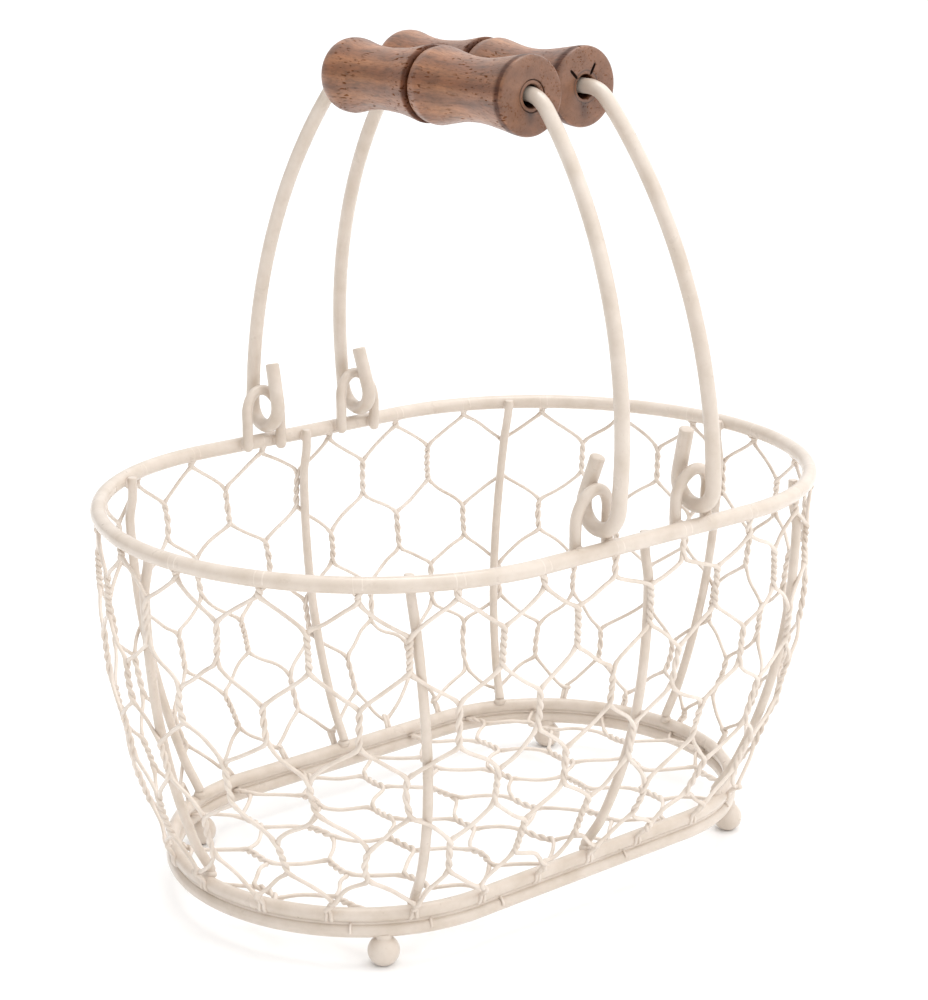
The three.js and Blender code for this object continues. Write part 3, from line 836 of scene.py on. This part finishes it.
def make_bail(letter, material, rng):
    pivot = joint_place(f"bail_{letter}_swing")
    shape = BAILS[letter]
    top = np.array((shape["top"][0], 0.0, shape["top"][1]))
    up = top - pivot
    height = float(np.linalg.norm(up))
    up /= height
    front, rear = (bail_half(shape["straight"], height, STUBS[letter, side]) for side in (-1, 1))

    def place(point, side):
        spot = pivot + up * point[1]
        return spot[0], side * point[0], spot[2]

    path = [place(p, -1) for p in reversed(front)] + [place(p, 1) for p in rear]
    path = smoothed(resampled(path, 0.9), 6)
    parts = Parts()
    parts.add(*sweep(path, BAIL_WIRE * uneven(len(path), 0.012, rng, waves=9), 26, cap="cut"))
    build_coated(parts, "bail_wire_" + letter, material, "bail_" + letter, sharp=60)


# ---- Grips ----
def spline(knots, at):
    """Catmull-Rom value at a position, through (position, value) knots."""
    for i in range(len(knots) - 1):
        if at <= knots[i + 1][0] or i == len(knots) - 2:
            break
    x0, y0 = knots[i]
    x1, y1 = knots[i + 1]
    before = knots[i - 1] if i else (2 * x0 - x1, 2 * y0 - y1)
    after = knots[i + 2] if i + 2 < len(knots) else (2 * x1 - x0, 2 * y1 - y0)
    slope0 = (y1 - before[1]) / (x1 - before[0])
    slope1 = (after[1] - y0) / (after[0] - x0)
    width = x1 - x0
    t = (at - x0) / width
    h = (2 * t**3 - 3 * t**2 + 1, t**3 - 2 * t**2 + t, -2 * t**3 + 3 * t**2, t**3 - t**2)
    return h[0] * y0 + h[1] * slope0 * width + h[2] * y1 + h[3] * slope1 * width


def make_grip(letter, material, rng):
    """Two spool shapes turned from one piece, a V groove between them, bored for the bail's wire. The
    flared end is dished inside its edge, and grip a's has a score round the bore."""
    node = "grip_" + letter
    low, high = node_box(node)
    axis = joint_place(f"grip_{letter}_roll")
    length = high[1] - low[1]
    profile = [
        (GRIP_BORE, high[1] - BORE_FULL[1]),
        (GRIP_BORE, high[1] - BORE_EASE),
        (GRIP_BORE + 0.1, high[1] - 0.1),
        (GRIP_BORE + BORE_EASE, high[1]),
        (GRIP_BORE + 2, high[1]),
    ]
    for knots, count in ((ROUND_HALF, 110), (FLARED_HALF, 120)):
        first, last = knots[0][0], knots[-1][0]
        for i in range(count):
            # Closer steps at the two ends of each half, where the turned edges are.
            even = i / (count - 1)
            at = first + (last - first) * (even + (smoothstep(even, 0, 1) - even) * 0.75)
            profile.append((spline(knots, at) * GRIP_FLARE, high[1] - at * length))
    face = FLARED_HALF[-1][1] * GRIP_FLARE
    outlines = [(face, END_DISH), (BORE_MOUTH[letter], END_MOUTH)]
    if letter == "a":
        outlines.insert(1, (GRIP_RING, END_SCORE))
    for radius, outline in outlines:
        profile += [(radius + out, low[1] + back) for out, back in outline]
    profile += [(GRIP_BORE, low[1] + back) for back in BORE_FULL]
    columns = 112
    phases = [rng.uniform(0, 6.28) for _ in range(3)]
    vertices = []
    for radius, y in profile:
        for j in range(columns):
            turn = 2 * math.pi * j / columns
            hand = 1 + 0.004 * math.sin(2 * turn + phases[0] + y * 0.05) + 0.003 * math.sin(
                3 * turn + phases[1] - y * 0.11
            )
            r = radius * hand if radius > GRIP_RING + 1 else radius
            vertices.append((axis[0] + r * math.sin(turn), y, axis[2] + r * math.cos(turn)))
    parts = Parts()
    parts.add(vertices, ring_faces(len(profile), columns, capped=False))
    parts.build(node + "_turned", material, "grip_roller_" + letter, "turned_wood", node, sharp=48)


# ---- Netting ----
def twist_side(wire, row):
    """Which twist a wire is in, in one row, and whether it comes into it from the left or the right."""
    if row % 2 == 0:
        return wire // 2, -1 if wire % 2 == 0 else 1
    return (wire - 1) // 2, -1 if wire % 2 else 1


class Lattice:
    """Hexagonal wire netting laid out flat. Each wire is twisted by turns with its left and its right
    neighbour. Places are in columns across and millimetres along."""

    def __init__(self, rng, pitch, columns=None):
        self.rng = rng
        self.pitch = pitch
        self.columns = columns
        self.twists = {}

    def twist(self, column, row, top, bottom, looseness):
        """The twist's two ends, its turns and how it bows, made once for its two wires."""
        key = (column % self.columns if self.columns else column, row)
        if key not in self.twists:
            rng = self.rng
            across = looseness / self.pitch
            self.twists[key] = {
                "top": (rng.gauss(0, 0.5) * across, top + rng.gauss(0, 0.45) * looseness),
                "bottom": (rng.gauss(0, 0.5) * across, bottom + rng.gauss(0, 0.45) * looseness),
                "turns": rng.choice((2, 2, 2, 3)),
                "skew": rng.uniform(-0.7, 0.7),
                "hand": rng.choice((-1, 1)),
                "bow": rng.gauss(0, 0.3) * across,
                "lift": rng.gauss(0, 0.25) * looseness,
            }
        return self.twists[key]

    def wire_through(self, twist, side, column, turns=None):
        """Points (columns across, along, depth, radius) down one wire of a twist."""
        turns = turns or twist["turns"]
        steps = 11 * turns
        points = []
        for i in range(steps + 1):
            t = i / steps
            wound = 2 * math.pi * turns * t + twist["skew"] * math.sin(2 * math.pi * t)
            angle = (math.pi if side < 0 else 0.0) + twist["hand"] * wound
            top, bottom = twist["top"], twist["bottom"]
            across = column + top[0] + (bottom[0] - top[0]) * t + twist["bow"] * math.sin(math.pi * t)
            along = top[1] + (bottom[1] - top[1]) * t
            depth = twist["lift"] * math.sin(math.pi * t) + TWIST_RADIUS * math.sin(angle)
            near_end = math.exp(-((min(t, 1 - t) * abs(top[1] - bottom[1])) / 1.3) ** 2)
            radius = NET_WIRE * (1 + 0.24 * near_end)
            points.append((across + TWIST_RADIUS * math.cos(angle) / self.pitch, along, depth, radius))
        return points

    def slant(self, start, end, looseness, steps=9):
        """Points between two twists, with a slight bend."""
        rng = self.rng
        bow = rng.gauss(0, 0.36) * looseness
        wave = rng.gauss(0, 0.16) * looseness
        lift = rng.gauss(0, 0.34) * looseness
        across, along = (end[0] - start[0]) * self.pitch, end[1] - start[1]
        length = math.hypot(across, along)
        points = []
        for i in range(1, steps):
            t = i / steps
            bend = bow * math.sin(math.pi * t) + wave * math.sin(2 * math.pi * t)
            points.append(
                (
                    start[0] + (end[0] - start[0]) * t - along / length * bend / self.pitch,
                    start[1] + along * t + across / length * bend,
                    start[2] + (end[2] - start[2]) * t + lift * math.sin(math.pi * t),
                    NET_WIRE,
                )
            )
        return points


def net_station(column, height):
    """Station of a netting column at a height, with the netting evenly spaced round the wall there."""
    place = column + NET_PHASE
    along = min(max((place - NET_DRIFT_START) / NET_DRIFT_LENGTH, 0.0), 1.0)
    drift = NET_DRIFT * math.sin(math.pi * along)
    return station_at((place + drift) / NET_COLUMNS, size_at(min(height, RIM.height)))


def first_join(column):
    """Height of the netting's top joins: lower along the front side, where the first twists are longer."""
    station = net_station(column, RIM.height)
    return NET_FIRST_JOIN - NET_FRONT_SAG * math.exp(-(((station - 1.55) % 4 - 2) / 0.55) ** 2)


def make_wall_netting(material):
    rng = random.Random(RANDOM_SEED)
    pitch = lengths_of(size_of(RIM))[2] / NET_COLUMNS
    lattice = Lattice(rng, pitch, NET_COLUMNS)
    over_ring = UPPER.wire + NET_WIRE
    parts = Parts()

    def on_wall(point):
        across, along, depth, _ = point
        near_base = smoothstep(-along, -29.5, -UPPER.height - 1.5)
        outset = NET_OUTSET + (over_ring + 0.15 - NET_OUTSET) * near_base
        return wall_point(net_station(across, along), along, outset + depth)

    def on_ring(ring, column, angle, reach):
        height = ring.height + reach * math.sin(angle)
        station = net_station(column, ring.height)
        return oval_point(size_of(ring), station, height, reach * math.cos(angle))

    for wire in range(2 * NET_COLUMNS):
        points = []
        for row in range(NET_ROWS + 1):
            column, side = twist_side(wire, row)
            looseness = WALL_LOOSENESS[0] + WALL_LOOSENESS[1] * row
            shift = 0.5 if row % 2 else 0.0
            top = NET_FIRST_JOIN - NET_ROW * row + NET_TWIST if row else NET_TOP + 1.2
            bottom = NET_FIRST_JOIN - NET_ROW * row if row < NET_ROWS else UPPER.height + 4.4
            if row == 0:
                bottom = first_join(column)
            twist = lattice.twist(column, row, top, bottom, looseness)
            turns = 1 if row in (0, NET_ROWS) else None
            here = lattice.wire_through(twist, side, column + shift, turns)
            if points:
                points += lattice.slant(points[-1], here[0], looseness)
            points += here
        path = [on_wall(p) for p in points]
        radii = [p[3] for p in points]
        first, last = points[0], points[-1]
        column0, side0 = twist_side(wire, 0)
        # Round the rim: each end is wound once over it and sunk in the coating.
        wound = []
        turn_steps = 30
        for i in range(turn_steps + 1):
            t = i / turn_steps
            angle = -math.pi / 2 - side0 * RIM_TURN * t
            spread = side0 * (0.3 + 0.6 * t) / pitch
            reach = RIM.wire + RIM_TURN_CLEAR - RIM_TURN_SINK * smoothstep(t, 0.0, 0.13)
            wound.append(on_ring(RIM, first[0] + spread, angle, reach))
        # Over the upper base ring's outer face and into the seam between the two rings.
        down = []
        splay = rng.uniform(0.4, 1.7) * (-1 if twist_side(wire, NET_ROWS)[1] < 0 else 1)
        down_steps = 14
        for i in range(1, down_steps + 1):
            t = i / down_steps
            angle = BASE_TURN_START + BASE_TURN * t
            sunk = BASE_TURN_SINK[0] * smoothstep(t, 0, 0.3) + BASE_TURN_SINK[1] * smoothstep(t, 0.72, 1.0)
            reach = over_ring - 0.1 - sunk
            down.append(on_ring(UPPER, last[0] + splay * t**1.3 / pitch, angle, reach))
        full = wound[::-1] + path + down
        thick = [NET_WIRE] * len(wound) + radii + [NET_WIRE] * len(down)
        full = smoothed(full, 2)
        parts.add(*sweep(full, np.array(thick) * uneven(len(full), 0.05, rng, 7), 8))
    build_netting(parts, "wall_netting", material)


def past_straight(x):
    """How far a place is past the floor's straight middle part, negative on the left."""
    from_middle = x - UPPER.middle
    centre = UPPER.half_length - UPPER.end_length
    return math.copysign(max(abs(from_middle) - centre, 0), from_middle)


def edge_share(x, y, gap=0.0):
    """0 along the floor's middle and 1 at its oval edge, or at a line that far inside the edge."""
    return math.hypot(past_straight(x) / (UPPER.end_length - gap), y / (UPPER.half_width - gap))


def edge_normal(x, y):
    """Outward direction of the floor's oval edge beside a point."""
    normal = np.array((past_straight(x) / UPPER.end_length**2, y / UPPER.half_width**2, 0.0))
    return normal / np.linalg.norm(normal)


def make_floor_netting(material):
    rng = random.Random(RANDOM_SEED + 1)
    lattice = Lattice(rng, FLOOR_PITCH)
    parts = Parts()
    for wire in FLOOR_WIRES:
        points = []
        for row in FLOOR_ROWS:
            column, side = twist_side(wire, row)
            shift = 0.5 if row % 2 else 0.0
            middle = row * FLOOR_ROW + FLOOR_SHIFT[1]
            low, high = middle - FLOOR_TWIST / 2, middle + FLOOR_TWIST / 2
            twist = lattice.twist(column, row, low, high, FLOOR_LOOSENESS)
            here = lattice.wire_through(twist, side, column + shift)
            if points:
                points += lattice.slant(points[-1], here[0], FLOOR_LOOSENESS)
            points += here
        flat = [
            (p[0] * FLOOR_PITCH + FLOOR_SHIFT[0], p[1], FLOOR_HEIGHT + p[2], p[3]) for p in points
        ]
        run = []
        for point in flat + [None]:
            if point is not None and edge_share(point[0], point[1], FLOOR_EDGE_GAP) < 1:
                run.append(point)
                continue
            if len(run) > 6:
                parts.add(*floor_wire(run, rng))
            run = []
    build_netting(parts, "floor_netting", material)


def floor_wire(run, rng):
    """One cut length of floor wire. Its ends run into the seam between the base rings, and some poke out
    and are bent down over the lower ring."""
    path = [np.array(p[:3]) for p in run]
    radii = [p[3] for p in run]
    for point in path:
        near = min(1.0, max(0.0, 1 - edge_distance(point) / 9.0))
        point[2] += (SEAM_HEIGHT - point[2]) * near
    for end in (0, -1):
        tip = path[end]
        out = edge_normal(tip[0], tip[1])
        tail = [np.array((tip[0], tip[1], SEAM_HEIGHT)) + out * d for d in (0.8, 1.6)]
        if rng.random() < 0.55:
            bend = rng.uniform(0.5, 1.0)
            tail += [np.array((tip[0], tip[1], SEAM_HEIGHT)) + out * 2.9]
            for k in range(1, 6):
                angle = math.radians(62 - 62 * bend * k / 5)
                reach = LOWER.wire + 0.45
                centre = np.array((tip[0], tip[1], LOWER.height)) + out * 1.2
                tail.append(centre + out * reach * math.cos(angle) + (0, 0, reach * math.sin(angle)))
        if end == 0:
            path = tail[::-1] + path
            radii = [TAIL_WIRE] * len(tail) + radii
        else:
            path = path + tail
            radii = radii + [TAIL_WIRE] * len(tail)
    return sweep(smoothed(path, 2), radii, 8)


def edge_distance(point):
    """Roughly how far a floor point is from the ring's centre line, in millimetres."""
    return (1 - edge_share(point[0], point[1])) * (UPPER.end_length + UPPER.half_width) / 2


# ---- Stage, light and camera ----
def make_stage():
    floor = bpy.data.meshes.new("stage_floor")
    reach = 6.0
    floor.from_pydata(
        [(-reach, -reach, 0), (reach, -reach, 0), (reach, reach, 0), (-reach, reach, 0)], [], [(0, 1, 2, 3)]
    )
    floor.materials.append(floor_material())
    stage = bpy.data.objects.new("stage_floor", floor)
    bpy.context.scene.collection.objects.link(stage)


def add_area(name, location, target, size, power, colour):
    light = bpy.data.lights.new(name, "AREA")
    light.shape = "RECTANGLE"
    light.size, light.size_y = size
    light.energy = power
    light.color = colour
    lamp = bpy.data.objects.new(name, light)
    lamp.location = location
    lamp.rotation_euler = (Vector(target) - Vector(location)).to_track_quat("-Z", "Y").to_euler()
    bpy.context.scene.collection.objects.link(lamp)


def make_light():
    """A white room, brightest high up on the right of the camera, and two soft boxes."""
    world = bpy.data.worlds.new("soft_studio")
    world.use_nodes = True
    nodes = world.node_tree.nodes
    link = world.node_tree.links.new
    background = nodes["Background"]
    facing = nodes.new("ShaderNodeVectorMath")
    facing.operation = "DOT_PRODUCT"
    link(nodes.new("ShaderNodeTexCoord").outputs["Generated"], facing.inputs[0])
    facing.inputs[1].default_value = ROOM_BRIGHT_SIDE
    ramp = nodes.new("ShaderNodeValToRGB")
    half = nodes.new("ShaderNodeMath")
    half.operation = "MULTIPLY_ADD"
    link(facing.outputs["Value"], half.inputs[0])
    half.inputs[1].default_value = 0.5
    half.inputs[2].default_value = 0.5
    link(half.outputs[0], ramp.inputs["Fac"])
    dim, bright = ramp.color_ramp.elements
    dim.position, dim.color = ROOM_DIM
    bright.position, bright.color = ROOM_BRIGHT
    link(ramp.outputs["Color"], background.inputs["Color"])
    background.inputs["Strength"].default_value = ROOM_STRENGTH
    bpy.context.scene.world = world
    target = (0, 0, 0.14)
    add_area("overhead_softbox", (0.25, 0.1, 1.7), target, (0.8, 0.8), OVERHEAD_POWER, (1.0, 1.0, 1.0))
    add_area("key_softbox", (0.7, -1.5, 1.3), target, (0.7, 0.9), KEY_POWER, (1.0, 0.995, 0.985))


def make_camera():
    azimuth = math.radians(CAMERA_AZIMUTH)
    elevation = math.radians(CAMERA_ELEVATION)
    back = Vector(
        (
            math.sin(azimuth) * math.cos(elevation),
            -math.cos(azimuth) * math.cos(elevation),
            math.sin(elevation),
        )
    )
    right = Vector((math.cos(azimuth), math.sin(azimuth), 0))
    up = back.cross(right)
    data = bpy.data.cameras.new("camera")
    data.sensor_width = SENSOR_SIZE
    data.lens = CAMERA_LENS
    data.clip_start = 0.05
    data.clip_end = 50
    camera = bpy.data.objects.new("camera", data)
    place = (Vector(CAMERA_TARGET) + back * CAMERA_DISTANCE) * MM
    camera.matrix_world = Matrix.Translation(place) @ Matrix((right, up, back)).transposed().to_4x4()
    bpy.context.scene.collection.objects.link(camera)
    bpy.context.scene.camera = camera
    bpy.context.scene.view_settings.view_transform = "Standard"


make_stage()
make_light()
make_camera()

CREAM = coating(
    "cream_powder_coat", linear(213, 201, 189), linear(207, 194, 181), linear(198, 184, 169), 0.33
)
NET_CREAM = coating(
    "cream_netting_coat", linear(225, 214, 203), linear(218, 206, 194), linear(204, 190, 176), 0.42
)
wobble = random.Random(RANDOM_SEED + 2)
make_ring("rim_ring", RIM, CREAM, wobble)
make_ring("base_ring_upper", UPPER, CREAM, wobble, count=340)
make_ring("base_ring_lower", LOWER, CREAM, wobble, count=340, filler=(SEAM_HEIGHT, 1.05))
for rib_node, (rib_top, rib_foot, rib_height) in RIBS.items():
    make_rib(rib_node, rib_top, rib_foot, rib_height, CREAM, wobble)
for foot_node in FEET:
    make_foot(foot_node, CREAM, wobble)
for lug_letter in BAILS:
    make_lug(f"lug_{lug_letter}_front", -1, CREAM, wobble)
    make_lug(f"lug_{lug_letter}_rear", 1, CREAM, wobble)
    make_bail(lug_letter, CREAM, wobble)
make_wall_netting(NET_CREAM)
make_floor_netting(NET_CREAM)

for grip_letter in BAILS:
    make_grip(grip_letter, walnut(grip_letter), wobble)
